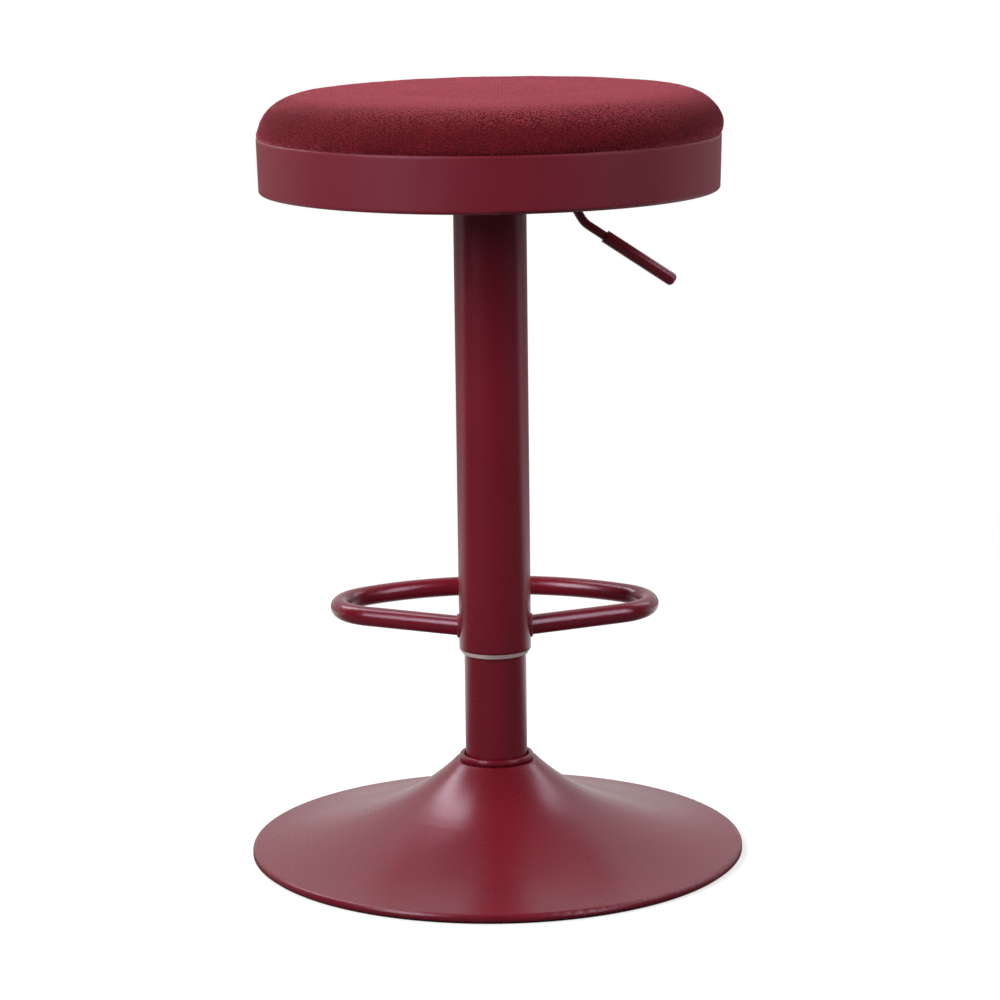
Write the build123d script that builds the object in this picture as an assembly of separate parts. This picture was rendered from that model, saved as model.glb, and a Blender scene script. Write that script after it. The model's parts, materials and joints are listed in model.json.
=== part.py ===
from build123d import *
from math import atan2, cos, degrees, radians, sin, sqrt
import os

# Adjustable swivel stool on a gas lift, drawn at its lowest setting.
# Millimetres. Z is up, the floor is z = 0 and the column axis is the Z axis.
# The sitter faces +Y, the foot rest reaches towards +Y and the height lever points towards +X.

# Outside sizes
BASE_RADIUS = 199.5
COLUMN_RADIUS = 25.0
COVER_RADIUS = 29.0
SEAT_RADIUS = 182.7
BAND_BOTTOM = 539.3
BAND_TOP = 583.0
CUSHION_TOP = 621.1

# Clearances between pieces that move or deform
RUNNING_GAP = 0.1
GUIDE_GAP = 0.3
SOFT_GAP = 0.3
SHEET = 1.5
FINE = 0.05

# Trumpet base: two concave arcs meet smoothly at the waist. Slopes are in degrees from level.
SHELL = 2.0
NECK_RADIUS = 33.3
NECK_SLOPE = 45.0
WAIST_RADIUS = 85.0
WAIST_SLOPE = 26.0
RIM_SLOPE = 5.0
RIM_HEIGHT = 7.3
NECK_BORE = 25.6
SKIRT_BOTTOM = 2.0
RIM_ROUND = 3.0
FLOOR_RING_TOP = 3.0
FLOOR_RING_WIDTH = 8.0
BOTTOM_COVER = 1.0
BALLAST_RADIUS = 152.0
BALLAST = 8.0
BALLAST_BORE = 22.0
COLLAR_INNER = 26.0
COLLAR_OUTER = 30.0
COLLAR_HEIGHT = 5.2

# Hub that holds the column, and its fasteners
HUB_WALL = 8.0
HUB_TOP = 60.0
HUB_FLANGE_RADIUS = 50.0
HUB_FLANGE = 5.0
HUB_SCREW_CIRCLE = 41.5
HUB_SCREW_COUNT = 4
M8_RADIUS = 4.0
M8_HEAD_RADIUS = 8.0
M8_HEAD = 4.0
M8_FLATS = 13.0
M8_NUT = 6.5
M8_KEY = 5.0

# Column tube and the bearing at its foot
COLUMN_FOOT = 13.0
COLUMN_TOP = 420.0
COLUMN_FLOOR = 3.0
BUSH_LENGTH = 90.0
BUSH_FLANGE = 2.0
ROD_RADIUS = 5.0
ROD_FOOT = 7.5
CLIP_GROOVE_RADIUS = 3.8
CLIP_RADIUS = 8.0
CLIP = 1.2
RACE_RADIUS = 13.5
RACE = 1.6
BALL_RADIUS = 1.95
BALL_CIRCLE = 9.8
BALL_COUNT = 10
CAGE = 1.4
CAGE_RADIUS = 12.6
CAGE_BORE = 7.0
BUMP_RADIUS = 12.0

# Gas spring
CYLINDER_RADIUS = 14.0
CYLINDER_BORE = 12.5
CYLINDER_FOOT = 44.0
CYLINDER_TOP = 523.0
TAPER_LENGTH = 26.0
TAPER_TOP_RADIUS = 12.9
VALVE_RADIUS = 10.5
VALVE_LENGTH = 34.0
ROD_GUIDE = 18.0
SEAL = 8.0
PISTON_TOP = 303.0
PISTON = 20.0
PISTON_SEAL = 4.0
PISTON_SEAL_DEPTH = 1.6

# Release button on the gas spring's valve
PIN_RADIUS = 3.0
PIN_DEPTH = 24.0
BUTTON_RADIUS = 4.5
BUTTON = 3.5
BUTTON_DOME = 10.0

# Cover tube, guide ring and foot rest
COVER_FOOT = 168.7
GUIDE_LIP = 3.8
GUIDE_LIP_FOOT_RADIUS = 26.6
GUIDE_INSERT = 22.0
CAP = 6.0
FOOT_REST_HEIGHT = 186.0
FOOT_TUBE_RADIUS = 8.0
FOOT_TUBE_WALL = 1.5
FOOT_ARM_ANGLE = 26.0
FOOT_ARM_START = (24.0, 0.9)
FOOT_CORNER_RADIUS = 42.5
FOOT_ARC_RADIUS = 180.0
FOOT_ARC_FRONT = 150.6

# Seat plate, lever housing and tapered socket
BOARD_BOTTOM = 544.7
BOARD = 15.0
BOARD_RADIUS = 175.5
PLATE = 3.0
PLATE_SIZE = 130.0
PLATE_CORNER = 14.0
SEAT_BOLT_SPACING = 100.0
HOUSING_BOTTOM = 526.5
HOUSING_BACK = -36.0
HOUSING_FRONT = 40.0
HOUSING_WIDTH = 48.0
HOUSING_WALL = 2.0
HOUSING_BORE = 16.5
SOCKET_RADIUS = 18.0
M6_RADIUS = 3.0
M6_FLATS = 10.0
M6_HEAD = 4.0
M6_WASHER_RADIUS = 6.25
M6_WASHER = 1.2
M6_REACH = 555.0
TEE_BARREL_RADIUS = 4.5
TEE_FLANGE_RADIUS = 10.0
TEE_FLANGE = 1.2

# Height lever
LEVER_RADIUS = 3.5
LEVER_END = -6.0
LEVER_HEIGHT = 533.5
LEVER_PIVOT = 26.0
LEVER_PIN_RADIUS = 2.0
LEVER_PIN_HEAD_RADIUS = 3.4
LEVER_PIN_HEAD = 1.2
LEVER_KNEE = 61.9
LEVER_BEND = (74.3, 512.0)
LEVER_TIP = (145.6, 464.5)
LEVER_KNEE_ROUND = 14.0
LEVER_BEND_ROUND = 20.0
GRIP_RADIUS = 5.25
GRIP_LENGTH = 66.0
GRIP_END_ROUND = 3.6
GRIP_EDGE_ROUND = 0.8
GRIP_END_WALL = 4.0

# Seat band
BAND_WALL = 2.8
BAND_DRAFT = 1.2
BAND_ROUND = 2.5
LIP = 2.5
LIP_INNER = 165.0
BAND_SCREW_CIRCLE = 171.0
BAND_SCREW_COUNT = 6
BAND_SCREW_RADIUS = 2.0
BAND_SCREW_HEAD_RADIUS = 4.2
BAND_SCREW_REACH = 556.0
BAND_SCREW_KEY = 2.5
BAND_SCREW_KEY_DEPTH = 1.8

# Upholstery
FABRIC = 1.8
CROWN_EDGE = (143.0, 617.0)
SHOULDER_HEIGHT = 586.0
CUSHION_RADIUS = 183.0
TUCK_RADIUS = 178.0
TUCK_HEIGHT = 581.0
HEM_INNER = 148.0
HEM = 2.6
STAPLE_CIRCLE = 156.0
STAPLE_COUNT = 28
STAPLE = (1.2, 10.0, 0.5)

# Heights and radii that follow from the ones above
UP = (Align.CENTER, Align.CENTER, Align.MIN)
BALLAST_BOTTOM = FLOOR_RING_TOP + BOTTOM_COVER
BALLAST_TOP = BALLAST_BOTTOM + BALLAST
COLUMN_BORE = COLUMN_RADIUS - SHEET
COVER_BORE = COVER_RADIUS - SHEET
RACE_FOOT = COLUMN_FOOT + COLUMN_FLOOR
BALL_GAP = 2 * (BALL_RADIUS + FINE)
UPPER_RACE_FOOT = RACE_FOOT + RACE + BALL_GAP
BUMP_FOOT = UPPER_RACE_FOOT + RACE
CLIP_FOOT = COLUMN_FOOT - 2 * FINE - RACE - CLIP
BUTTON_TOP = LEVER_HEIGHT - LEVER_RADIUS - SOFT_GAP
PLATE_BOTTOM = BOARD_BOTTOM - PLATE
BOARD_TOP = BOARD_BOTTOM + BOARD
LIP_TOP = BAND_BOTTOM + LIP


def disc(radius, bottom, top):
    """Plain disc about the column axis."""
    return Pos(0, 0, bottom) * Cylinder(radius, top - bottom, align=UP)


def ring(inner, outer, bottom, top):
    """Plain ring about the column axis."""
    return disc(outer, bottom, top) - disc(inner, bottom, top)


def hexagon(flats, bottom, top):
    """Hexagonal prism about the column axis."""
    face = RegularPolygon(flats / 2, 6, major_radius=False)
    return extrude(Pos(0, 0, bottom) * face, top - bottom)


def spun(section):
    """A (radius, height) section revolved about the column axis."""
    return revolve(Plane.XZ * section, Axis.Z)


def polygon(*points):
    """Straight-sided section through (radius, height) points."""
    return make_face(Polyline(*points, close=True))


def around(shape, radius, count):
    """Copies of a shape spaced evenly on a circle about the column axis."""
    return Part() + [place * shape for place in PolarLocations(radius, count)]


def at_bolts(shape):
    """Copies of a shape at the four bolts of the seat plate."""
    places = GridLocations(SEAT_BOLT_SPACING, SEAT_BOLT_SPACING, 2, 2)
    return Part() + [place * shape for place in places]


def concave_arc(inner, outer, steep, gentle, foot):
    """Size and centre of a concave arc between two radii, from its slopes there and its foot's height."""
    size = (outer - inner) / (sin(radians(steep)) - sin(radians(gentle)))
    return size, (outer + size * sin(radians(gentle)), foot + size * cos(radians(gentle)))


def arc_height(arc, radius, depth=0.0):
    """Height of a concave arc's surface, or of the surface a depth under it."""
    size, centre = arc
    return centre[1] - sqrt((size + depth) ** 2 - (centre[0] - radius) ** 2)


def arc_line(arc, start, end, depth=0.0):
    """Line along a concave arc between two radii."""
    radii = (start, (start + end) / 2, end)
    return ThreePointArc(*[(radius, arc_height(arc, radius, depth)) for radius in radii])


RIM_ARC = concave_arc(WAIST_RADIUS, BASE_RADIUS, WAIST_SLOPE, RIM_SLOPE, RIM_HEIGHT)
NECK_ARC = concave_arc(NECK_RADIUS, WAIST_RADIUS, NECK_SLOPE, WAIST_SLOPE, arc_height(RIM_ARC, WAIST_RADIUS))
NECK_TOP = arc_height(NECK_ARC, NECK_RADIUS)


# ---- Base ----


def trumpet_base():
    skirt_inner = BASE_RADIUS - SHELL
    inner_waist = WAIST_RADIUS - SHELL * sin(radians(WAIST_SLOPE))
    outer = arc_line(NECK_ARC, NECK_RADIUS, WAIST_RADIUS) + arc_line(RIM_ARC, WAIST_RADIUS, BASE_RADIUS)
    inner = arc_line(RIM_ARC, skirt_inner, inner_waist, SHELL)
    inner += arc_line(NECK_ARC, inner_waist, NECK_RADIUS, SHELL)
    rim = (BASE_RADIUS, RIM_HEIGHT)
    skirt_top = (skirt_inner, arc_height(RIM_ARC, skirt_inner, SHELL))
    skirt = Polyline(rim, (BASE_RADIUS, SKIRT_BOTTOM), (skirt_inner, SKIRT_BOTTOM), skirt_top)
    inner_top = (NECK_RADIUS, arc_height(NECK_ARC, NECK_RADIUS, SHELL))
    neck = Polyline(inner_top, (NECK_BORE, NECK_TOP - SHELL), (NECK_BORE, NECK_TOP), (NECK_RADIUS, NECK_TOP))
    section = make_face(outer + skirt + inner + neck)
    corner = section.vertices().sort_by_distance(rim)[0]
    return spun(fillet(corner, RIM_ROUND))


def base_collar():
    width = COLLAR_OUTER - COLLAR_INNER
    middle = ((COLLAR_INNER + COLLAR_OUTER) / 2, NECK_TOP + COLLAR_HEIGHT / 2)
    section = Pos(*middle) * RectangleRounded(width, COLLAR_HEIGHT, width / 2 - FINE)
    return spun(section)


def floor_ring():
    outer = BASE_RADIUS - SHELL - SOFT_GAP
    body = ring(outer - FLOOR_RING_WIDTH, outer, 0, FLOOR_RING_TOP)
    return chamfer(body.edges().group_by(Axis.Z)[0], SOFT_GAP)


def bottom_cover():
    return disc(BASE_RADIUS - SHELL - SOFT_GAP, FLOOR_RING_TOP, BALLAST_BOTTOM)


def hub_screw():
    foot = BALLAST_BOTTOM
    head = (M8_HEAD_RADIUS, foot), (M8_RADIUS, foot + M8_HEAD)
    top = BALLAST_TOP + HUB_FLANGE + M8_NUT
    body = spun(polygon((0, foot), *head, (M8_RADIUS, top), (0, top)))
    return body - hexagon(M8_KEY, foot, foot + M8_HEAD - FINE)


def hub_screws():
    return around(hub_screw(), HUB_SCREW_CIRCLE, HUB_SCREW_COUNT)


def hub_nuts():
    bottom = BALLAST_TOP + HUB_FLANGE
    nut = hexagon(M8_FLATS, bottom, bottom + M8_NUT) - disc(M8_RADIUS, bottom, bottom + M8_NUT)
    return around(nut, HUB_SCREW_CIRCLE, HUB_SCREW_COUNT)


def hub_screw_space():
    """Holes for the hub screws, countersunk from below."""
    foot = BALLAST_BOTTOM
    top = BALLAST_TOP + HUB_FLANGE
    outline = [(0, foot), (M8_HEAD_RADIUS, foot), (M8_RADIUS, foot + M8_HEAD), (M8_RADIUS, top), (0, top)]
    return around(spun(polygon(*outline)), HUB_SCREW_CIRCLE, HUB_SCREW_COUNT)


def ballast_plate():
    return ring(BALLAST_BORE, BALLAST_RADIUS, BALLAST_BOTTOM, BALLAST_TOP) - hub_screw_space()


def base_hub():
    socket = disc(COLUMN_RADIUS + HUB_WALL, BALLAST_TOP, HUB_TOP)
    flange = disc(HUB_FLANGE_RADIUS, BALLAST_TOP, BALLAST_TOP + HUB_FLANGE)
    bore = disc(COLUMN_RADIUS, COLUMN_FOOT, HUB_TOP) + disc(BALLAST_BORE, BALLAST_TOP, COLUMN_FOOT)
    return socket + flange - bore - hub_screw_space()


def column_tube():
    tube = ring(COLUMN_BORE, COLUMN_RADIUS, COLUMN_FOOT, COLUMN_TOP)
    floor = disc(COLUMN_RADIUS, COLUMN_FOOT, RACE_FOOT)
    return tube + floor - disc(ROD_RADIUS + GUIDE_GAP, COLUMN_FOOT, RACE_FOOT)


def guide_bush():
    sleeve = disc(COLUMN_BORE, COLUMN_TOP - BUSH_LENGTH, COLUMN_TOP)
    flange = disc(COLUMN_RADIUS - FINE, COLUMN_TOP, COLUMN_TOP + BUSH_FLANGE)
    bore = disc(CYLINDER_RADIUS + RUNNING_GAP, COLUMN_TOP - BUSH_LENGTH, COLUMN_TOP + BUSH_FLANGE)
    return sleeve + flange - bore


def lower_race():
    return ring(ROD_RADIUS + GUIDE_GAP, RACE_RADIUS, RACE_FOOT, RACE_FOOT + RACE)


# ---- Thrust bearing ----


def ball_height():
    return RACE_FOOT + RACE + BALL_GAP / 2


def ball_cage():
    middle = ball_height()
    plate = ring(CAGE_BORE, CAGE_RADIUS, middle - CAGE / 2, middle + CAGE / 2)
    pocket = Pos(0, 0, middle) * Sphere(BALL_RADIUS + FINE)
    return plate - around(pocket, BALL_CIRCLE, BALL_COUNT)


def bearing_balls():
    return around(Pos(0, 0, ball_height()) * Sphere(BALL_RADIUS), BALL_CIRCLE, BALL_COUNT)


# ---- Piston rod ----


def piston_rod():
    rod = disc(ROD_RADIUS, ROD_FOOT, PISTON_TOP)
    return rod - ring(CLIP_GROOVE_RADIUS, ROD_RADIUS, CLIP_FOOT, CLIP_FOOT + CLIP)


def retaining_clip():
    """Spring clip with an open mouth, snapped into the rod's groove."""
    plate = ring(CLIP_GROOVE_RADIUS, CLIP_RADIUS, CLIP_FOOT, CLIP_FOOT + CLIP)
    mouth = Pos(CLIP_RADIUS / 2, 0, CLIP_FOOT) * Box(CLIP_RADIUS, CLIP_GROOVE_RADIUS, CLIP, align=UP)
    return plate - mouth


def rod_washer():
    bottom = CLIP_FOOT + CLIP
    return ring(ROD_RADIUS, CLIP_RADIUS + CLIP, bottom, bottom + RACE)


def upper_race():
    return ring(ROD_RADIUS, RACE_RADIUS, UPPER_RACE_FOOT, BUMP_FOOT)


def bump_stop():
    return ring(ROD_RADIUS, BUMP_RADIUS, BUMP_FOOT, CYLINDER_FOOT - SOFT_GAP)


def piston_seal_foot():
    return PISTON_TOP - (PISTON + PISTON_SEAL) / 2


def piston():
    outer = CYLINDER_BORE - RUNNING_GAP - FINE
    body = ring(ROD_RADIUS, outer, PISTON_TOP - PISTON, PISTON_TOP)
    foot = piston_seal_foot()
    return body - ring(outer - PISTON_SEAL_DEPTH, outer, foot, foot + PISTON_SEAL)


def piston_seal():
    outer = CYLINDER_BORE - RUNNING_GAP - FINE
    foot = piston_seal_foot()
    return ring(outer - PISTON_SEAL_DEPTH, CYLINDER_BORE - FINE, foot, foot + PISTON_SEAL)


# ---- Gas cylinder and what is fixed to it ----


def gas_cylinder():
    shoulder = CYLINDER_TOP - TAPER_LENGTH
    valve_seat = CYLINDER_TOP - VALVE_LENGTH
    outer = [(CYLINDER_RADIUS, CYLINDER_FOOT), (CYLINDER_RADIUS, shoulder), (TAPER_TOP_RADIUS, CYLINDER_TOP)]
    bore = [(VALVE_RADIUS, CYLINDER_TOP), (VALVE_RADIUS, valve_seat), (CYLINDER_BORE, valve_seat)]
    return spun(polygon(*outer, *bore, (CYLINDER_BORE, CYLINDER_FOOT)))


def rod_guide():
    return ring(ROD_RADIUS + FINE, CYLINDER_BORE, CYLINDER_FOOT, CYLINDER_FOOT + ROD_GUIDE)


def rod_seal():
    bottom = CYLINDER_FOOT + ROD_GUIDE
    return ring(ROD_RADIUS + FINE, CYLINDER_BORE, bottom, bottom + SEAL)


def valve_body():
    bottom = CYLINDER_TOP - VALVE_LENGTH
    top = CYLINDER_TOP - M6_WASHER
    bore_foot = BUTTON_TOP - BUTTON - PIN_DEPTH - BUTTON
    return disc(VALVE_RADIUS, bottom, top) - disc(PIN_RADIUS + RUNNING_GAP, bore_foot, top)


def taper_socket():
    shoulder = CYLINDER_TOP - TAPER_LENGTH
    bore = [(TAPER_TOP_RADIUS, HOUSING_BOTTOM), (TAPER_TOP_RADIUS, CYLINDER_TOP), (CYLINDER_RADIUS, shoulder)]
    return spun(polygon(*bore, (SOCKET_RADIUS, shoulder), (SOCKET_RADIUS, HOUSING_BOTTOM)))


def cover_tube():
    return ring(COVER_BORE, COVER_RADIUS, COVER_FOOT, HOUSING_BOTTOM)


def tube_cap():
    return ring(SOCKET_RADIUS, COVER_BORE, HOUSING_BOTTOM - CAP, HOUSING_BOTTOM)


def guide_ring():
    inner = COLUMN_RADIUS + GUIDE_GAP
    lip_foot = COVER_FOOT - GUIDE_LIP
    lip = [(inner, lip_foot), (GUIDE_LIP_FOOT_RADIUS, lip_foot), (COVER_RADIUS - FINE, COVER_FOOT)]
    top = COVER_FOOT + GUIDE_INSERT
    insert = [(COVER_BORE, COVER_FOOT), (COVER_BORE, top), (inner, top)]
    return spun(polygon(*lip, *insert))


def foot_rest_path():
    """Plan of the foot rest: arm, tight corner, wide arc, tight corner, arm."""
    angle = radians(FOOT_ARM_ANGLE)
    start = Vector(*FOOT_ARM_START)
    along = Vector(cos(angle), sin(angle))
    inward = Vector(-sin(angle), cos(angle))
    arc_centre = Vector(0, FOOT_ARC_FRONT - FOOT_ARC_RADIUS)
    # The corner's centre is a corner radius inside both the arm and the wide arc.
    offset = start + inward * FOOT_CORNER_RADIUS - arc_centre
    reach = FOOT_ARC_RADIUS - FOOT_CORNER_RADIUS
    run = -offset.dot(along) + sqrt(offset.dot(along) ** 2 - offset.length**2 + reach**2)
    corner = offset + along * run
    bearing = degrees(atan2(corner.Y, corner.X))
    turn = bearing + 90 - FOOT_ARM_ANGLE
    arm = Line(start, start + along * run)
    first = JernArc(arm @ 1, arm % 1, FOOT_CORNER_RADIUS, turn)
    wide = JernArc(first @ 1, first % 1, FOOT_ARC_RADIUS, 2 * (90 - bearing))
    second = JernArc(wide @ 1, wide % 1, FOOT_CORNER_RADIUS, turn)
    back = Line(second @ 1, (-start.X, start.Y))
    return Wire([arm.edge(), first.edge(), wide.edge(), second.edge(), back.edge()])


def foot_rest():
    path = Pos(0, 0, FOOT_REST_HEIGHT) * foot_rest_path()
    section = Circle(FOOT_TUBE_RADIUS) - Circle(FOOT_TUBE_RADIUS - FOOT_TUBE_WALL)
    place = Plane(origin=path @ 0, z_dir=path % 0)
    tube = sweep(place * section, path=path)
    height = 2 * FOOT_TUBE_RADIUS
    return tube - disc(COVER_RADIUS, FOOT_REST_HEIGHT - height, FOOT_REST_HEIGHT + height)


# ---- Seat mechanism ----


def mechanism_plate():
    plate = extrude(Pos(0, 0, PLATE_BOTTOM) * RectangleRounded(PLATE_SIZE, PLATE_SIZE, PLATE_CORNER), PLATE)
    return plate - at_bolts(disc(M6_RADIUS, PLATE_BOTTOM, BOARD_BOTTOM))


def mechanism_housing():
    """Open-topped steel box under the plate, slotted for the lever."""
    length = HOUSING_FRONT - HOUSING_BACK
    height = PLATE_BOTTOM - HOUSING_BOTTOM
    middle = (HOUSING_FRONT + HOUSING_BACK) / 2
    outside = Pos(middle, 0, HOUSING_BOTTOM) * Box(length, HOUSING_WIDTH, height, align=UP)
    outside = fillet(outside.edges().filter_by(Axis.Z), 2 * HOUSING_WALL)
    inside_size = (length - 2 * HOUSING_WALL, HOUSING_WIDTH - 2 * HOUSING_WALL, height)
    inside = Pos(middle, 0, HOUSING_BOTTOM + HOUSING_WALL) * Box(*inside_size, align=UP)
    slot_foot = LEVER_HEIGHT - LEVER_RADIUS - 2 * SOFT_GAP
    slot = Pos(HOUSING_FRONT, 0, slot_foot) * Box(4 * HOUSING_WALL, M6_FLATS, height, align=UP)
    bore = disc(HOUSING_BORE, HOUSING_BOTTOM, PLATE_BOTTOM)
    return outside - inside - slot - bore - pivot_axis(LEVER_PIN_RADIUS, HOUSING_WIDTH)


def pivot_axis(radius, length):
    """Cylinder along the lever's pivot axis."""
    return Pos(LEVER_PIVOT, 0, LEVER_HEIGHT) * Rot(90, 0, 0) * Cylinder(radius, length)


def lever_pin():
    heads = HOUSING_WIDTH + 2 * LEVER_PIN_HEAD
    head = pivot_axis(LEVER_PIN_HEAD_RADIUS, heads) - pivot_axis(LEVER_PIN_HEAD_RADIUS, HOUSING_WIDTH)
    return head + pivot_axis(LEVER_PIN_RADIUS, heads)


def seat_bolts():
    head = hexagon(M6_FLATS, PLATE_BOTTOM - M6_WASHER - M6_HEAD, PLATE_BOTTOM - M6_WASHER)
    return at_bolts(head + disc(M6_RADIUS, PLATE_BOTTOM - M6_WASHER, M6_REACH))


def seat_washers():
    return at_bolts(ring(M6_RADIUS, M6_WASHER_RADIUS, PLATE_BOTTOM - M6_WASHER, PLATE_BOTTOM))


def tee_nuts():
    barrel = ring(M6_RADIUS, TEE_BARREL_RADIUS, BOARD_TOP - 3 * M6_HEAD, BOARD_TOP)
    flange = ring(M6_RADIUS, TEE_FLANGE_RADIUS, BOARD_TOP, BOARD_TOP + TEE_FLANGE)
    return at_bolts(barrel + flange)


# ---- Height lever and release button ----


def lever_run():
    """Unit vector along the sloping handle, towards its tip."""
    return Vector(LEVER_TIP[0] - LEVER_BEND[0], 0, LEVER_TIP[1] - LEVER_BEND[1]).normalized()


def lever_tip():
    return Vector(LEVER_TIP[0], 0, LEVER_TIP[1])


def lever_rod():
    end = lever_tip() - lever_run() * GRIP_END_WALL
    bend = (LEVER_BEND[0], 0, LEVER_BEND[1])
    corners = [(LEVER_END, 0, LEVER_HEIGHT), (LEVER_KNEE, 0, LEVER_HEIGHT), bend, end]
    path = FilletPolyline(*corners, radius=[LEVER_KNEE_ROUND, LEVER_BEND_ROUND])
    section = Plane(origin=path @ 0, z_dir=path % 0) * Circle(LEVER_RADIUS)
    rod = sweep(section, path=path)
    return rod - pivot_axis(LEVER_PIN_RADIUS + FINE, 4 * LEVER_RADIUS)


def lever_grip():
    start = lever_tip() - lever_run() * GRIP_LENGTH
    place = Plane(origin=start, z_dir=lever_run()).location
    sleeve = Cylinder(GRIP_RADIUS, GRIP_LENGTH, align=UP)
    ends = sleeve.edges().sort_by(Axis.Z)
    sleeve = fillet(ends[-1], GRIP_END_ROUND)
    sleeve = fillet(sleeve.edges().sort_by(Axis.Z)[0], GRIP_EDGE_ROUND)
    bore = Cylinder(LEVER_RADIUS, GRIP_LENGTH - GRIP_END_WALL, align=UP)
    return place * (sleeve - bore)


def release_button():
    """Valve pin with a domed head."""
    dome_foot = BUTTON_TOP - BUTTON_DOME + sqrt(BUTTON_DOME**2 - BUTTON_RADIUS**2)
    middle = BUTTON_RADIUS / 2
    dome_middle = (middle, BUTTON_TOP - BUTTON_DOME + sqrt(BUTTON_DOME**2 - middle**2))
    dome = ThreePointArc((BUTTON_RADIUS, dome_foot), dome_middle, (0, BUTTON_TOP))
    head_foot = BUTTON_TOP - BUTTON
    foot = head_foot - PIN_DEPTH
    stem = [(0, BUTTON_TOP), (0, foot), (PIN_RADIUS, foot), (PIN_RADIUS, head_foot)]
    head = [(BUTTON_RADIUS, head_foot), (BUTTON_RADIUS, dome_foot)]
    return spun(make_face(Polyline(*stem, *head) + dome))


# ---- Seat ----


def band_screw_space(radius):
    """Shanks of the screws that hold the band to the seat board."""
    return around(disc(radius, BAND_BOTTOM, BAND_SCREW_REACH), BAND_SCREW_CIRCLE, BAND_SCREW_COUNT)


def band_screw_outline():
    head = [(0, BAND_BOTTOM), (BAND_SCREW_HEAD_RADIUS, BAND_BOTTOM), (BAND_SCREW_RADIUS, LIP_TOP)]
    return polygon(*head, (BAND_SCREW_RADIUS, BAND_SCREW_REACH), (0, BAND_SCREW_REACH))


def band_screws():
    key = hexagon(BAND_SCREW_KEY, BAND_BOTTOM, BAND_BOTTOM + BAND_SCREW_KEY_DEPTH)
    return around(spun(band_screw_outline()) - key, BAND_SCREW_CIRCLE, BAND_SCREW_COUNT)


def seat_band():
    """Rolled steel band with an inward lip that carries the seat board."""
    foot_radius = SEAT_RADIUS - BAND_DRAFT
    outside = [(LIP_INNER, BAND_BOTTOM), (foot_radius, BAND_BOTTOM), (SEAT_RADIUS, BAND_TOP)]
    inside = [(SEAT_RADIUS - BAND_WALL, BAND_TOP), (foot_radius - BAND_WALL, LIP_TOP), (LIP_INNER, LIP_TOP)]
    section = polygon(*outside, *inside)
    top_edge = section.vertices().group_by(Axis.Y)[-1]
    section = fillet(top_edge, BAND_WALL / 2 - FINE)
    bottom_edge = section.vertices().sort_by_distance((foot_radius, BAND_BOTTOM))[0]
    section = fillet(bottom_edge, BAND_ROUND)
    return spun(section) - around(spun(band_screw_outline()), BAND_SCREW_CIRCLE, BAND_SCREW_COUNT)


def seat_board():
    board = disc(BOARD_RADIUS, BOARD_BOTTOM, BOARD_TOP)
    bolt_holes = at_bolts(disc(TEE_BARREL_RADIUS, BOARD_BOTTOM, BOARD_TOP))
    return board - bolt_holes - band_screw_space(BAND_SCREW_RADIUS)


def cushion_section(inset, foot):
    """Half section of the cushion, inset from its fabric's outer surface, down to a flat foot."""
    crown_edge = (CROWN_EDGE[0], CROWN_EDGE[1] - inset)
    crown_middle = (CROWN_EDGE[0] / 2, CUSHION_TOP - inset - (CUSHION_TOP - CROWN_EDGE[1]) / 4)
    crown = ThreePointArc((0, CUSHION_TOP - inset), crown_middle, crown_edge)
    width = CUSHION_RADIUS - CROWN_EDGE[0] - inset
    height = CROWN_EDGE[1] - SHOULDER_HEIGHT - inset
    centre = (CROWN_EDGE[0], SHOULDER_HEIGHT)
    shoulder = EllipticalCenterArc(centre, width, height, start_angle=0, arc_size=90)
    tuck = (TUCK_RADIUS - inset, TUCK_HEIGHT)
    side = Polyline(shoulder @ 0, tuck, (tuck[0], foot), (0, foot), (0, CUSHION_TOP - inset))
    return make_face(crown + shoulder + side)


def foam_pad():
    return spun(cushion_section(FABRIC + SOFT_GAP, BOARD_TOP + TEE_FLANGE + SOFT_GAP))


def seat_cover():
    """Fabric over the foam, down the edge of the board and turned in under it."""
    hem_foot = BOARD_BOTTOM - SOFT_GAP / 2 - HEM
    outside = spun(cushion_section(0, hem_foot))
    inside = spun(cushion_section(FABRIC, BOARD_BOTTOM - SOFT_GAP / 2))
    opening = disc(HEM_INNER, hem_foot, BOARD_BOTTOM)
    return outside - inside - opening - band_screw_space(BAND_SCREW_RADIUS + SOFT_GAP)


def cover_staples():
    top = BOARD_BOTTOM - SOFT_GAP / 2 - HEM
    crown = Pos(0, 0, top - STAPLE[2]) * Box(*STAPLE, align=UP)
    return around(crown, STAPLE_CIRCLE, STAPLE_COUNT)


NODES = [
    trumpet_base, base_collar, floor_ring, bottom_cover, ballast_plate, base_hub, hub_screws, hub_nuts,
    column_tube, guide_bush, lower_race, ball_cage, bearing_balls,
    piston_rod, retaining_clip, rod_washer, upper_race, bump_stop, piston, piston_seal,
    gas_cylinder, rod_guide, rod_seal, valve_body, taper_socket, cover_tube, tube_cap, guide_ring, foot_rest,
    mechanism_plate, mechanism_housing, lever_pin, seat_bolts, seat_washers, tee_nuts,
    lever_rod, lever_grip, release_button,
    seat_band, band_screws, seat_board, foam_pad, seat_cover, cover_staples,
]

os.makedirs("parts", exist_ok=True)
for build_node in NODES:
    export_step(build_node(), f"parts/{build_node.__name__}.step")
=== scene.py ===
import json
from math import cos, pi, radians, sin, sqrt, tau

import bpy
import numpy as np
from mathutils import Matrix, Vector, noise


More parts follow.
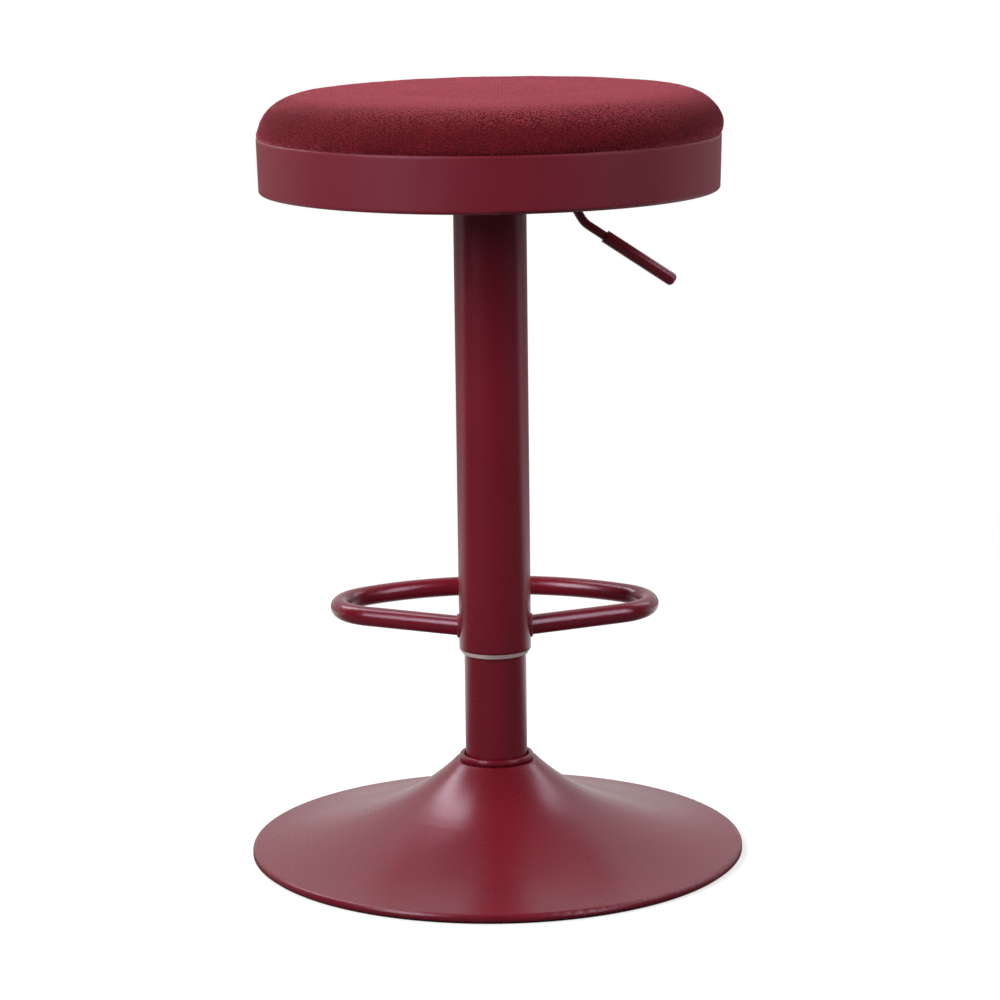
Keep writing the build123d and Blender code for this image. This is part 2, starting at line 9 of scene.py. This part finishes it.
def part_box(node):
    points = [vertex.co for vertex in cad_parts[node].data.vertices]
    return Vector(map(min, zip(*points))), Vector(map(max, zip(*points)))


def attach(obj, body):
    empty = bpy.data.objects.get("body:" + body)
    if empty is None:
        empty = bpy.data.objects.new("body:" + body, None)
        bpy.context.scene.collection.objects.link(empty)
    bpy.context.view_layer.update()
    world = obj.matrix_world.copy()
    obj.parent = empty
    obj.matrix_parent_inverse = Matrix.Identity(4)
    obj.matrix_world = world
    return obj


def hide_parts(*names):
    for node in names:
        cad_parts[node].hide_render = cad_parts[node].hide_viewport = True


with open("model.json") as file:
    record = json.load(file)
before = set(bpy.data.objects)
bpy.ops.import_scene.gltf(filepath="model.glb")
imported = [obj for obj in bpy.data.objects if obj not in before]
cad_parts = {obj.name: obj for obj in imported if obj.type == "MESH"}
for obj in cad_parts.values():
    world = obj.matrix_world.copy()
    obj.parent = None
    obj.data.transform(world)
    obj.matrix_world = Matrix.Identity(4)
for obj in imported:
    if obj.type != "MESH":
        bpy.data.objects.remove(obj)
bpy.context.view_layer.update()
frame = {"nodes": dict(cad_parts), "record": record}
NODES = frame["nodes"]

# ---------------------------------------------------------------- camera

CAMERA_DISTANCE = 2.666
CAMERA_HEIGHT = 0.8213
CAMERA_PAN = radians(0.114)
CAMERA_PITCH = radians(11.276)
CAMERA_ROLL = radians(0.7)
LENS = 122.1


def make_camera():
    """A long lens behind the stool, a little above its seat."""
    data = bpy.data.cameras.new("camera")
    data.lens = LENS
    data.sensor_width = 36.0
    camera = bpy.data.objects.new("camera", data)
    pan = Matrix.Rotation(-CAMERA_PAN, 4, "Z")
    tilt = Matrix.Rotation(pi / 2 - CAMERA_PITCH, 4, "X")
    roll = Matrix.Rotation(-CAMERA_ROLL, 4, "Z")
    camera.matrix_world = Matrix.Translation((0, -CAMERA_DISTANCE, CAMERA_HEIGHT)) @ pan @ tilt @ roll
    bpy.context.scene.collection.objects.link(camera)
    bpy.context.scene.camera = camera


make_camera()

# ---------------------------------------------------------------- node helpers


class Shader:
    """A small helper for building a node tree in code."""

    def __init__(self, tree):
        self.tree = tree
        tree.nodes.clear()

    def node(self, kind, inputs=None, **settings):
        made = self.tree.nodes.new(kind)
        for key, value in settings.items():
            setattr(made, key, value)
        for key, value in (inputs or {}).items():
            socket = made.inputs[key]
            if isinstance(value, bpy.types.NodeSocket):
                self.tree.links.new(value, socket)
            else:
                socket.default_value = value
        return made

    def noise(self, vector, scale, detail=2.0, roughness=0.5, distortion=0.0):
        inputs = {"Vector": vector, "Scale": scale, "Detail": detail, "Roughness": roughness}
        inputs["Distortion"] = distortion
        return self.node("ShaderNodeTexNoise", inputs).outputs["Fac"]

    def cells(self, vector, scale, randomness=1.0, feature="F1", output="Distance"):
        inputs = {"Vector": vector, "Scale": scale, "Randomness": randomness}
        return self.node("ShaderNodeTexVoronoi", inputs, feature=feature).outputs[output]

    def math(self, operation, *values, clamp=False):
        made = self.node("ShaderNodeMath", dict(enumerate(values)), operation=operation)
        made.use_clamp = clamp
        return made.outputs[0]

    def ramp(self, value, low, high, to_low=0.0, to_high=1.0, kind="SMOOTHSTEP"):
        inputs = {"Value": value, "From Min": low, "From Max": high, "To Min": to_low, "To Max": to_high}
        return self.node("ShaderNodeMapRange", inputs, interpolation_type=kind).outputs["Result"]

    def mix(self, factor, one, two, blend="MIX"):
        made = self.node("ShaderNodeMix", data_type="RGBA", blend_type=blend)
        for index, value in ((0, factor), (6, one), (7, two)):
            if isinstance(value, bpy.types.NodeSocket):
                self.tree.links.new(value, made.inputs[index])
            elif index:
                made.inputs[index].default_value = (*value, 1.0)
            else:
                made.inputs[index].default_value = value
        return made.outputs[2]

    def bump(self, height, distance, strength=1.0, normal=None):
        inputs = {"Height": height, "Distance": distance, "Strength": strength}
        if normal:
            inputs["Normal"] = normal
        return self.node("ShaderNodeBump", inputs).outputs["Normal"]

    def place(self):
        """Coordinates fixed to the piece, in metres."""
        return self.node("ShaderNodeTexCoord").outputs["Object"]

    def surface(self, shader):
        self.node("ShaderNodeOutputMaterial", {"Surface": shader.outputs[0]})


def new_material(name):
    material = bpy.data.materials.new(name)
    material.use_nodes = True
    return material, Shader(material.node_tree)


def shade(colour, factor):
    return tuple(min(1.0, channel * factor) for channel in colour)


# ---------------------------------------------------------------- materials

BURGUNDY = (0.158, 0.0062, 0.0150)
COAT_TINT = (1.0, 0.78, 1.0, 1.0)
FABRIC_RED = (0.190, 0.0092, 0.0180)
FABRIC_SHEEN = (0.95, 0.20, 0.27, 1.0)


def powder_coat(name, roughness, grain, colour=BURGUNDY):
    """Satin powder coat: a fine orange-peel skin, faint mottling in colour and gloss."""
    material, s = new_material(name)
    at = s.place()
    cloud = s.noise(at, 9.0, 3.0)
    speck = s.noise(at, 1400.0, 1.0)
    peel = s.noise(at, 620.0, 2.0, 0.55)
    body = s.mix(s.ramp(cloud, 0.3, 0.7), shade(colour, 0.94), shade(colour, 1.06))
    body = s.mix(s.ramp(speck, 0.35, 0.75, 0.0, 0.2), body, shade(colour, 1.35))
    gloss = s.math("ADD", s.ramp(cloud, 0.25, 0.75, -0.03, 0.03), s.ramp(speck, 0.3, 0.7, -0.015, 0.015))
    gloss = s.math("ADD", gloss, roughness)
    soft_edge = s.node("ShaderNodeBevel", {"Radius": 0.003}).outputs["Normal"]
    normal = s.bump(peel, grain, 0.6, soft_edge)
    normal = s.bump(speck, grain * 0.35, 0.6, normal)
    inputs = {"Base Color": body, "Roughness": gloss, "Normal": normal, "Specular Tint": COAT_TINT}
    s.surface(s.node("ShaderNodeBsdfPrincipled", inputs))
    return material


def plastic(name, colour, roughness, grain_scale, grain):
    """Moulded plastic with a fine spark-eroded texture."""
    material, s = new_material(name)
    at = s.place()
    cloud = s.noise(at, 40.0, 3.0)
    texture = s.noise(at, grain_scale, 2.0)
    body = s.mix(s.ramp(cloud, 0.3, 0.7), shade(colour, 0.9), shade(colour, 1.1))
    inputs = {
        "Base Color": body,
        "Roughness": s.ramp(texture, 0.3, 0.7, roughness - 0.05, roughness + 0.08),
        "Normal": s.bump(texture, grain, 0.7),
    }
    s.surface(s.node("ShaderNodeBsdfPrincipled", inputs))
    return material


def rubber(name):
    """Matte black rubber with dust in its pores."""
    material, s = new_material(name)
    at = s.place()
    pores = s.noise(at, 900.0, 3.0, 0.6)
    dust = s.noise(at, 60.0, 4.0)
    body = s.mix(s.ramp(dust, 0.5, 0.8, 0.0, 0.5), (0.014, 0.013, 0.013), (0.045, 0.042, 0.040))
    inputs = {
        "Base Color": body,
        "Roughness": s.ramp(pores, 0.3, 0.7, 0.62, 0.82),
        "Normal": s.bump(pores, 0.00004, 0.7),
    }
    s.surface(s.node("ShaderNodeBsdfPrincipled", inputs))
    return material


def metal(name, colour, roughness, scratch=(900.0, 900.0, 30.0), patina=0.25):
    """Bare or plated steel with fine drawing marks and a slightly uneven tone."""
    material, s = new_material(name)
    at = s.place()
    stretched = s.node("ShaderNodeMapping", {"Vector": at, "Scale": scratch}).outputs[0]
    lines = s.noise(stretched, 1.0, 3.0, 0.6)
    cloud = s.noise(at, 70.0, 4.0)
    body = s.mix(s.ramp(cloud, 0.35, 0.7, 0.0, patina), colour, shade(colour, 0.55))
    inputs = {
        "Base Color": body,
        "Metallic": 1.0,
        "Roughness": s.ramp(lines, 0.3, 0.7, roughness - 0.06, roughness + 0.10),
        "Normal": s.bump(lines, 0.000015, 0.6),
    }
    s.surface(s.node("ShaderNodeBsdfPrincipled", inputs))
    return material


def plywood(name):
    """Birch plywood: long face grain seen from below, thin plies on the edge."""
    material, s = new_material(name)
    at = s.place()
    long_grain = s.node("ShaderNodeMapping", {"Vector": at, "Scale": (6.0, 110.0, 1.0)}).outputs[0]
    figure = s.noise(long_grain, 1.0, 5.0, 0.6, 0.6)
    short_grain = s.node("ShaderNodeMapping", {"Vector": at, "Scale": (60.0, 1500.0, 1.0)}).outputs[0]
    pores = s.noise(short_grain, 1.0, 2.0)
    face = s.mix(s.ramp(figure, 0.3, 0.7), (0.62, 0.44, 0.26), (0.44, 0.28, 0.14))
    face = s.mix(s.ramp(pores, 0.55, 0.8, 0.0, 0.5), face, (0.25, 0.15, 0.07))
    height = s.node("ShaderNodeSeparateXYZ", {"Vector": at}).outputs["Z"]
    plies = s.math("GREATER_THAN", s.math("FRACT", s.math("MULTIPLY", height, 330.0)), 0.5)
    edge = s.mix(plies, (0.50, 0.34, 0.19), (0.30, 0.19, 0.10))
    upright = s.node("ShaderNodeSeparateXYZ", {"Vector": s.node("ShaderNodeTexCoord").outputs["Normal"]})
    flat = s.math("ABSOLUTE", upright.outputs["Z"])
    inputs = {
        "Base Color": s.mix(s.ramp(flat, 0.4, 0.6), edge, face),
        "Roughness": s.ramp(figure, 0.3, 0.7, 0.6, 0.75),
        "Normal": s.bump(pores, 0.00006, 0.6),
    }
    s.surface(s.node("ShaderNodeBsdfPrincipled", inputs))
    return material


def pile_fabric(name):
    """Short looped pile: tufts about a millimetre wide, with painted shade between them, brushed in soft
    patches.
    """
    material, s = new_material(name)
    at = s.place()
    wander = s.node("ShaderNodeTexNoise", {"Vector": at, "Scale": 260.0, "Detail": 2.0}).outputs["Color"]
    shift = s.node("ShaderNodeVectorMath", {0: wander, "Scale": 0.0012}, operation="SCALE").outputs[0]
    moved = s.node("ShaderNodeVectorMath", {0: at, 1: shift}, operation="ADD").outputs[0]
    tuft = s.cells(moved, 860.0)
    fine = s.noise(at, 1600.0, 2.0, 0.6)
    tone = s.cells(moved, 860.0, output="Color")
    tone = s.node("ShaderNodeSeparateColor", {"Color": tone}).outputs["Red"]
    patch = s.noise(at, 34.0, 4.0, 0.55, 0.4)
    drift = s.noise(at, 9.0, 2.0)
    crest_and_gap_shade = s.ramp(tuft, 0.05, 0.75, 1.0, 0.0)
    light = s.mix(s.ramp(patch, 0.35, 0.68), shade(FABRIC_RED, 0.82), shade(FABRIC_RED, 1.30))
    light = s.mix(s.ramp(drift, 0.35, 0.65, 0.0, 0.3), light, shade(FABRIC_RED, 1.25))
    light = s.mix(s.ramp(tone, 0.55, 1.0, 0.0, 0.55), light, shade(FABRIC_RED, 2.1))
    # painted shade: the gaps between the tufts are darkened to 0.42 of the fabric red, the tuft crests keep
    # the full colour
    body = s.mix(crest_and_gap_shade, shade(FABRIC_RED, 0.42), light)
    height = s.math("ADD", crest_and_gap_shade, s.math("MULTIPLY", fine, 0.55))
    height = s.math("ADD", height, s.math("MULTIPLY", patch, 0.4))
    inputs = {
        "Base Color": body,
        "Roughness": s.ramp(fine, 0.3, 0.7, 0.80, 0.98),
        "Normal": s.bump(height, 0.0009, 0.8),
        "Specular IOR Level": 0.12,
        "Sheen Weight": 0.86,
        "Sheen Roughness": 0.22,
        "Sheen Tint": FABRIC_SHEEN,
    }
    s.surface(s.node("ShaderNodeBsdfPrincipled", inputs))
    return material


def foam_material(name):
    """Open-cell upholstery foam, with painted shade in its pores."""
    material, s = new_material(name)
    at = s.place()
    pores = s.cells(at, 1100.0)
    cloud = s.noise(at, 25.0, 3.0)
    body = s.mix(s.ramp(cloud, 0.3, 0.7), (0.74, 0.66, 0.45), (0.82, 0.76, 0.58))
    # painted shade: the pores are darkened towards brown, the shade that falls inside the holes
    body = s.mix(s.ramp(pores, 0.1, 0.5, 0.6, 0.0), body, (0.42, 0.34, 0.20))
    inputs = {"Base Color": body, "Roughness": 0.95, "Normal": s.bump(pores, 0.0004, 0.6)}
    s.surface(s.node("ShaderNodeBsdfPrincipled", inputs))
    return material


# ---------------------------------------------------------------- mesh helpers


def mesh_object(name, vertices, faces, material, smooth=True):
    mesh = bpy.data.meshes.new(name)
    mesh.from_pydata([tuple(v) for v in vertices], [], faces)
    mesh.polygons.foreach_set("use_smooth", [smooth] * len(mesh.polygons))
    mesh.materials.append(material)
    mesh.update()
    made = bpy.data.objects.new(name, mesh)
    bpy.context.scene.collection.objects.link(made)
    return made


def revolved(profile, turns, closed=False):
    """Vertices and quads of a (radius, height) profile turned about Z. The ends may lie on the axis."""
    vertices, faces, rows = [], [], []
    for radius, height in profile:
        if radius < 1e-7:
            rows.append([len(vertices)] * turns)
            vertices.append((0.0, 0.0, height))
            continue
        rows.append(list(range(len(vertices), len(vertices) + turns)))
        angles = [tau * i / turns for i in range(turns)]
        vertices += [(radius * cos(a), radius * sin(a), height) for a in angles]
    pairs = list(zip(rows, rows[1:])) + ([(rows[-1], rows[0])] if closed else [])
    for low, high in pairs:
        for i in range(turns):
            j = (i + 1) % turns
            corners = [low[i], low[j], high[j], high[i]]
            faces.append(list(dict.fromkeys(corners)))
    return vertices, faces


# ---------------------------------------------------------------- cushion

cover_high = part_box("seat_cover")[1]
band_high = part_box("seat_band")[1]
board_low, board_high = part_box("seat_board")

CUSHION_TOP = cover_high.z
CUSHION_RADIUS = cover_high.x
BAND_TOP = band_high.z
BOARD_BOTTOM = board_low.z
SHOULDER_START = CUSHION_RADIUS - 0.040
CROWN_DROP = 0.0041
WIDEST = BAND_TOP + 0.003
TUCK_RADIUS = board_high.x + 0.0025
TUCK_HEIGHT = BAND_TOP - 0.002
HEM_RADIUS = 0.148
GRID_RADIUS = 0.090
GRID_CELLS = 72
SWELL = 0.002
SWELL_FULL_INSIDE = 0.118
SWELL_NONE_OUTSIDE = 0.152
SINK = 0.0004
LEAN = 0.0067
SLIP = 0.0018
SHOULDER_STEPS = 14
TUCK_STEPS = 4
FOAM_INSET = 0.0012
CLOTH_FRAMES = 20
CLOTH_PRESSURE = 0.5


def smooth_step(value, low, high):
    part = np.clip((value - low) / (high - low), 0.0, 1.0)
    return part * part * (3 - 2 * part)


def crown_height(radius):
    return CUSHION_TOP - CROWN_DROP * (radius / SHOULDER_START) ** 2


def slack(radius):
    """How far the cover is cut below crown_height, as room for the fabric to swell."""
    return SWELL * (1 - float(smooth_step(radius, SWELL_FULL_INSIDE, SWELL_NONE_OUTSIDE)))


def cushion_outline(inset, start=0.0, steps=34):
    """(radius, height) from a starting radius on the crown outwards and down to the tuck inside the band."""
    points = []
    for i in range(steps):
        radius = start + (SHOULDER_START - start) * i / steps
        points.append((radius, crown_height(radius) - slack(radius) - inset))
    width = CUSHION_RADIUS - SHOULDER_START - inset
    drop = crown_height(SHOULDER_START) - WIDEST - inset
    for i in range(SHOULDER_STEPS + 1):
        angle = pi / 2 * (1 - i / SHOULDER_STEPS)
        radius = SHOULDER_START + width * cos(angle)
        points.append((radius, WIDEST + drop * sin(angle) - slack(radius)))
    inward = CUSHION_RADIUS - inset - TUCK_RADIUS
    for i in range(1, TUCK_STEPS + 1):
        angle = pi / 2 * i / TUCK_STEPS
        points.append((TUCK_RADIUS + inward * cos(angle), WIDEST - (WIDEST - TUCK_HEIGHT) * sin(angle)))
    return points


def cover_skirt():
    """(radius, height) below the tuck: down the board's edge, round it and in under it to the hem."""
    under = BOARD_BOTTOM - 0.0011
    side = [(TUCK_RADIUS, TUCK_HEIGHT - 0.012), (TUCK_RADIUS, BOARD_BOTTOM + 0.004)]
    turn = [(TUCK_RADIUS - 0.0008, BOARD_BOTTOM - 0.0004), (TUCK_RADIUS - 0.005, under)]
    return side + turn + [(HEM_RADIUS, under)]


def cover_mesh(material):
    """Even quads: a square grid bent into the middle disc, then rings out to the hem."""
    steps = np.linspace(-1.0, 1.0, GRID_CELLS + 1)
    vertices, faces = [], []
    for v in steps:
        for u in steps:
            x = GRID_RADIUS * u * sqrt(1 - v * v / 2)
            y = GRID_RADIUS * v * sqrt(1 - u * u / 2)
            radius = sqrt(x * x + y * y)
            vertices.append((x, y, crown_height(radius) - slack(radius)))
    row = GRID_CELLS + 1
    for j in range(GRID_CELLS):
        for i in range(GRID_CELLS):
            corner = j * row + i
            faces.append((corner, corner + 1, corner + row + 1, corner + row))
    bottom = list(range(GRID_CELLS))
    right = [j * row + GRID_CELLS for j in range(GRID_CELLS)]
    top = [GRID_CELLS * row + i for i in range(GRID_CELLS, 0, -1)]
    left = [j * row for j in range(GRID_CELLS, 0, -1)]
    loop = bottom + right + top + left
    spokes = [Vector(vertices[index][:2]).normalized() for index in loop]
    for radius, height in cushion_outline(0.0, GRID_RADIUS, 16)[1:] + cover_skirt():
        ring = list(range(len(vertices), len(vertices) + len(loop)))
        vertices += [(radius * spoke.x, radius * spoke.y, height) for spoke in spokes]
        for i, low in enumerate(loop):
            j = (i + 1) % len(loop)
            faces.append((low, ring[i], ring[j], loop[j]))
        loop = ring
    return mesh_object("seat_cover_fabric", vertices, faces, material)


def apply_modifiers(piece):
    depsgraph = bpy.context.evaluated_depsgraph_get()
    done = bpy.data.meshes.new_from_object(piece.evaluated_get(depsgraph))
    old = piece.data
    piece.modifiers.clear()
    piece.data = done
    bpy.data.meshes.remove(old)


def positions(mesh):
    flat = np.empty(len(mesh.vertices) * 3, dtype=np.float32)
    mesh.vertices.foreach_get("co", flat)
    return flat.reshape(-1, 3).astype(np.float64)


def set_positions(mesh, points):
    mesh.vertices.foreach_set("co", points.astype(np.float32).ravel())
    mesh.update()


def vertex_normals(mesh):
    flat = np.empty(len(mesh.vertices) * 3, dtype=np.float32)
    mesh.vertices.foreach_get("normal", flat)
    return flat.reshape(-1, 3).astype(np.float64)


def inflate(piece):
    """Cloth simulation: the fabric swells by about 1 to 2 mm from its pinned tuck, along its start normals.

    The limits at the end are a guard that no visible point reaches at this pressure. At a pressure of 4 most
    points end on them, and then they set the shape instead of the simulation.
    """
    start = positions(piece.data)
    normals = vertex_normals(piece.data)
    held = piece.vertex_groups.new(name="held")
    held.add([int(i) for i in np.flatnonzero(start[:, 2] < TUCK_HEIGHT + 0.0002)], 1.0, "REPLACE")
    cloth = piece.modifiers.new("cloth", "CLOTH")
    cloth.point_cache.frame_start = 1
    cloth.point_cache.frame_end = CLOTH_FRAMES
    settings = cloth.settings
    settings.quality = 5
    settings.mass = 0.25
    settings.tension_stiffness = 30.0
    settings.compression_stiffness = 30.0
    settings.shear_stiffness = 15.0
    settings.bending_stiffness = 1.0
    settings.use_pressure = True
    settings.uniform_pressure_force = CLOTH_PRESSURE
    settings.vertex_group_mass = "held"
    settings.effector_weights.gravity = 0.0
    for frame_number in range(1, CLOTH_FRAMES + 1):
        bpy.context.scene.frame_set(frame_number)
    apply_modifiers(piece)
    piece.vertex_groups.clear()
    bpy.context.scene.frame_set(1)
    rise = ((positions(piece.data) - start) * normals).sum(axis=1, keepdims=True)
    cut = np.array([[slack(sqrt(x * x + y * y)) + SINK] for x, y, _ in start])
    set_positions(piece.data, start + normals * np.clip(rise, -SINK, cut))


def rough_pile(piece):
    """Soft unevenness of the stuffing, and clumps of pile, as real relief along the surface's normals."""
    points = positions(piece.data)
    normals = vertex_normals(piece.data)
    relief = np.empty(len(points))
    for index, point in enumerate(points):
        at = Vector(point)
        relief[index] = 0.00030 * noise.noise(at * 28) + 0.00016 * noise.noise(at * 150)
        relief[index] += 0.00014 * noise.noise(at * 420)
    relief *= smooth_step(points[:, 2], BAND_TOP - 0.001, BAND_TOP + 0.004)
    set_positions(piece.data, points + relief[:, None] * normals)


def settle(piece):
    """The pad sits a little to one side and slightly higher on that side, as stuffed pads do."""
    points = positions(piece.data)
    share = smooth_step(points[:, 2], TUCK_HEIGHT, BAND_TOP + 0.010)
    points[:, 2] += share * LEAN * points[:, 0]
    points[:, 0] += share * SLIP
    set_positions(piece.data, points)


def make_cover(material):
    cover = cover_mesh(material)
    inflate(cover)
    cover.modifiers.new("smooth", "SUBSURF").levels = 1
    apply_modifiers(cover)
    rough_pile(cover)
    settle(cover)
    return cover


def make_foam(material):
    """The pad under the cover: the same outline, set in a little, down to the board."""
    edge = TUCK_RADIUS - FOAM_INSET
    foot = board_high.z + 0.0015
    side = [(edge, TUCK_HEIGHT - 0.004), (edge, foot), (0.0, foot)]
    vertices, faces = revolved(cushion_outline(FOAM_INSET) + side, 96)
    foam = mesh_object("cushion_foam", vertices, faces, material)
    settle(foam)
    return foam


# ---------------------------------------------------------------- welds

COLUMN_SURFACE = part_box("cover_tube")[1].x
FOOT_LOW, FOOT_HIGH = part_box("foot_rest")
FOOT_TUBE = (FOOT_HIGH.z - FOOT_LOW.z) / 2
FOOT_HEIGHT = (FOOT_HIGH.z + FOOT_LOW.z) / 2
ARM_ANGLE = radians(26)
ARM_OFFSET = 0.0097
BEAD = 0.0017


def weld_bead(name, side, material):
    """Rippled bead along the line where an arm of the foot rest meets the cover tube."""
    along = Vector((cos(ARM_ANGLE), sin(ARM_ANGLE), 0))
    across = Vector((-sin(ARM_ANGLE), cos(ARM_ANGLE), 0))
    turns, section = 120, 12
    centre = []
    for i in range(turns):
        angle = tau * i / turns
        near = across * (FOOT_TUBE * cos(angle) - ARM_OFFSET)
        near += Vector((0, 0, FOOT_TUBE * sin(angle) + FOOT_HEIGHT))
        reach = sqrt(COLUMN_SURFACE**2 - near.x**2 - near.y**2)
        point = near + along * reach
        centre.append(Vector((side * point.x, point.y, point.z)))
    vertices, faces = [], []
    for i, point in enumerate(centre):
        forward = (centre[(i + 1) % turns] - centre[i - 1]).normalized()
        outward = Vector((point.x, point.y, 0)).normalized()
        flat = forward.cross(outward).normalized()
        size = BEAD * (1 + 0.10 * sin(26 * tau * i / turns) + 0.10 * noise.noise(point * 300))
        for k in range(section):
            angle = tau * k / section
            vertices.append(point + size * (cos(angle) * outward + sin(angle) * flat))
        for k in range(section):
            a, b = i * section + k, i * section + (k + 1) % section
            c, d = (i + 1) % turns * section + (k + 1) % section, (i + 1) % turns * section + k
            faces.append((a, b, c, d) if side < 0 else (a, d, c, b))
    return mesh_object(name, vertices, faces, material)


# ---------------------------------------------------------------- stage and light


def make_floor():
    """White sweep: real soft shadows near the stool, plain white further out."""
    size = 30.0
    corners = [(-size, -size, 0), (size, -size, 0), (size, size, 0), (-size, size, 0)]
    material, s = new_material("floor_white")
    at = s.place()
    radius = s.node("ShaderNodeVectorMath", {0: at}, operation="LENGTH").outputs["Value"]
    near = s.ramp(radius, 0.55, 1.5, 1.0, 0.0)
    camera_ray = s.node("ShaderNodeLightPath").outputs["Is Camera Ray"]
    lit = s.mix(near, (0.0, 0.0, 0.0), (0.45, 0.45, 0.45))
    glow = s.mix(near, (1.0, 1.0, 1.0), (0.62, 0.62, 0.62))
    seen = s.node(
        "ShaderNodeAddShader",
        {
            0: s.node("ShaderNodeBsdfDiffuse", {"Color": lit}).outputs[0],
            1: s.node("ShaderNodeEmission", {"Color": glow, "Strength": 1.0}).outputs[0],
        },
    )
    depth = s.node("ShaderNodeSeparateXYZ", {"Vector": at}).outputs["Y"]
    behind = s.math("MULTIPLY", s.ramp(depth, 0.12, 0.50, 0.03, 1.05), s.ramp(depth, 0.6, 1.3, 1.0, 0.2))
    others = s.node(
        "ShaderNodeAddShader",
        {
            0: s.node("ShaderNodeBsdfDiffuse", {"Color": (0.12, 0.12, 0.12, 1)}).outputs[0],
            1: s.node("ShaderNodeEmission", {"Color": (1, 1, 1, 1), "Strength": behind}).outputs[0],
        },
    )
    s.surface(s.node("ShaderNodeMixShader", {0: camera_ray, 1: others.outputs[0], 2: seen.outputs[0]}))
    floor = mesh_object("floor", corners, [(0, 1, 2, 3)], material, smooth=False)


def make_world():
    """White studio behind and beside the stool, dim in front of it; the backdrop itself is white."""
    world = bpy.data.worlds.new("studio")
    bpy.context.scene.world = world
    world.use_nodes = True
    s = Shader(world.node_tree)
    direction = s.node("ShaderNodeSeparateXYZ", {"Vector": s.node("ShaderNodeTexCoord").outputs["Generated"]})
    high = s.ramp(direction.outputs["Z"], 0.10, 0.65, 0.60, 0.90)
    high = s.math("MULTIPLY", high, s.ramp(direction.outputs["Z"], 0.68, 0.90, 1.0, 0.4))
    high = s.math("ADD", high, s.ramp(direction.outputs["Z"], 0.02, 0.24, 0.35, 0.0))
    behind = s.math("MULTIPLY", s.ramp(direction.outputs["Y"], -0.05, 0.55, 0.04, 1.0), high)
    camera_ray = s.node("ShaderNodeLightPath").outputs["Is Camera Ray"]
    strength = s.node("ShaderNodeMix", {0: camera_ray, 2: behind, 3: 1.0}).outputs[0]
    back = s.node("ShaderNodeBackground", {"Color": (1, 1, 1, 1), "Strength": strength})
    s.node("ShaderNodeOutputWorld", {"Surface": back.outputs[0]})


def softbox(name, azimuth, elevation, distance, size, power, aim=0.35):
    """A rectangular softbox aimed at the column. Azimuth 0 is the camera's side, positive towards +X."""
    light = bpy.data.lights.new(name, "AREA")
    light.shape = "RECTANGLE"
    light.size, light.size_y = size
    light.energy = power
    lamp = bpy.data.objects.new(name, light)
    a, e = radians(azimuth), radians(elevation)
    target = Vector((0, 0, aim))
    lamp.location = target + distance * Vector((cos(e) * sin(a), -cos(e) * cos(a), sin(e)))
    lamp.rotation_euler = (lamp.location - target).to_track_quat("Z", "Y").to_euler()
    lamp.visible_camera = False
    bpy.context.scene.collection.objects.link(lamp)


make_floor()
make_world()
softbox("key_left", -48, 31, 2.4, (0.9, 1.5), 52)
softbox("key_right", 60, 31, 2.4, (0.7, 1.5), 25)
softbox("rim_left", -127, 50, 2.2, (0.45, 1.5), 18, aim=0.1)
softbox("rim_right", 128, 40, 2.4, (0.40, 1.1), 6, aim=0.1)

scene = bpy.context.scene
scene.view_settings.view_transform = "Standard"

# ---------------------------------------------------------------- finish every piece

COAT = powder_coat("powder_coat_satin", 0.28, 0.000006)
RAIL_COAT = powder_coat("powder_coat_rail", 0.21, 0.000004)
BAND_COAT = powder_coat("powder_coat_band", 0.50, 0.00001)
LEVER_COAT = powder_coat("powder_coat_lever", 0.36, 0.000006)
SLEEVE = powder_coat("lever_sleeve_plastic", 0.28, 0.000003, (0.165, 0.0090, 0.0185))
GUIDE = plastic("guide_ring_plastic", (0.78, 0.70, 0.68), 0.45, 900.0, 0.00003)
BLACK_PLASTIC = plastic("black_plastic", (0.022, 0.022, 0.024), 0.5, 700.0, 0.00006)
RUBBER = rubber("black_rubber")
BALLAST = metal("ballast_steel", (0.16, 0.16, 0.165), 0.55, (60.0, 60.0, 60.0))
ZINC = metal("zinc_plate", (0.62, 0.62, 0.58), 0.34)
GROUND = metal("ground_steel", (0.72, 0.72, 0.73), 0.16, (600.0, 600.0, 2500.0), 0.1)
BLACK_STEEL = plastic("black_enamel", (0.018, 0.018, 0.019), 0.4, 500.0, 0.00004)
PLYWOOD = plywood("birch_plywood")
FABRIC = pile_fabric("looped_pile_fabric")
FOAM = foam_material("upholstery_foam")

FINISHES = {
    "powder_coat": COAT,
    "lever_coat": LEVER_COAT,
    "lever_sleeve": SLEEVE,
    "guide_plastic": GUIDE,
    "black_rubber": RUBBER,
    "black_plastic": BLACK_PLASTIC,
    "cast_ballast": BALLAST,
    "zinc_steel": ZINC,
    "black_steel": BLACK_STEEL,
    "ground_steel": GROUND,
    "plywood": PLYWOOD,
    "seat_fabric": FABRIC,
    "foam": FOAM,
}


def finish_cad_nodes():
    for part in frame["record"]["subparts"]:
        NODES[part["node"]].material_slots[0].material = FINISHES[part["material_slot"]]
    NODES["seat_band"].material_slots[0].material = BAND_COAT
    NODES["foot_rest"].material_slots[0].material = RAIL_COAT


finish_cad_nodes()

cover = make_cover(FABRIC)
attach(cover, "seat")
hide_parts("seat_cover")

foam = make_foam(FOAM)
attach(foam, "seat")
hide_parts("foam_pad")

for label, side in (("left", -1), ("right", 1)):
    bead = weld_bead(f"foot_rest_weld_{label}", side, RAIL_COAT)
    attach(bead, "seat")
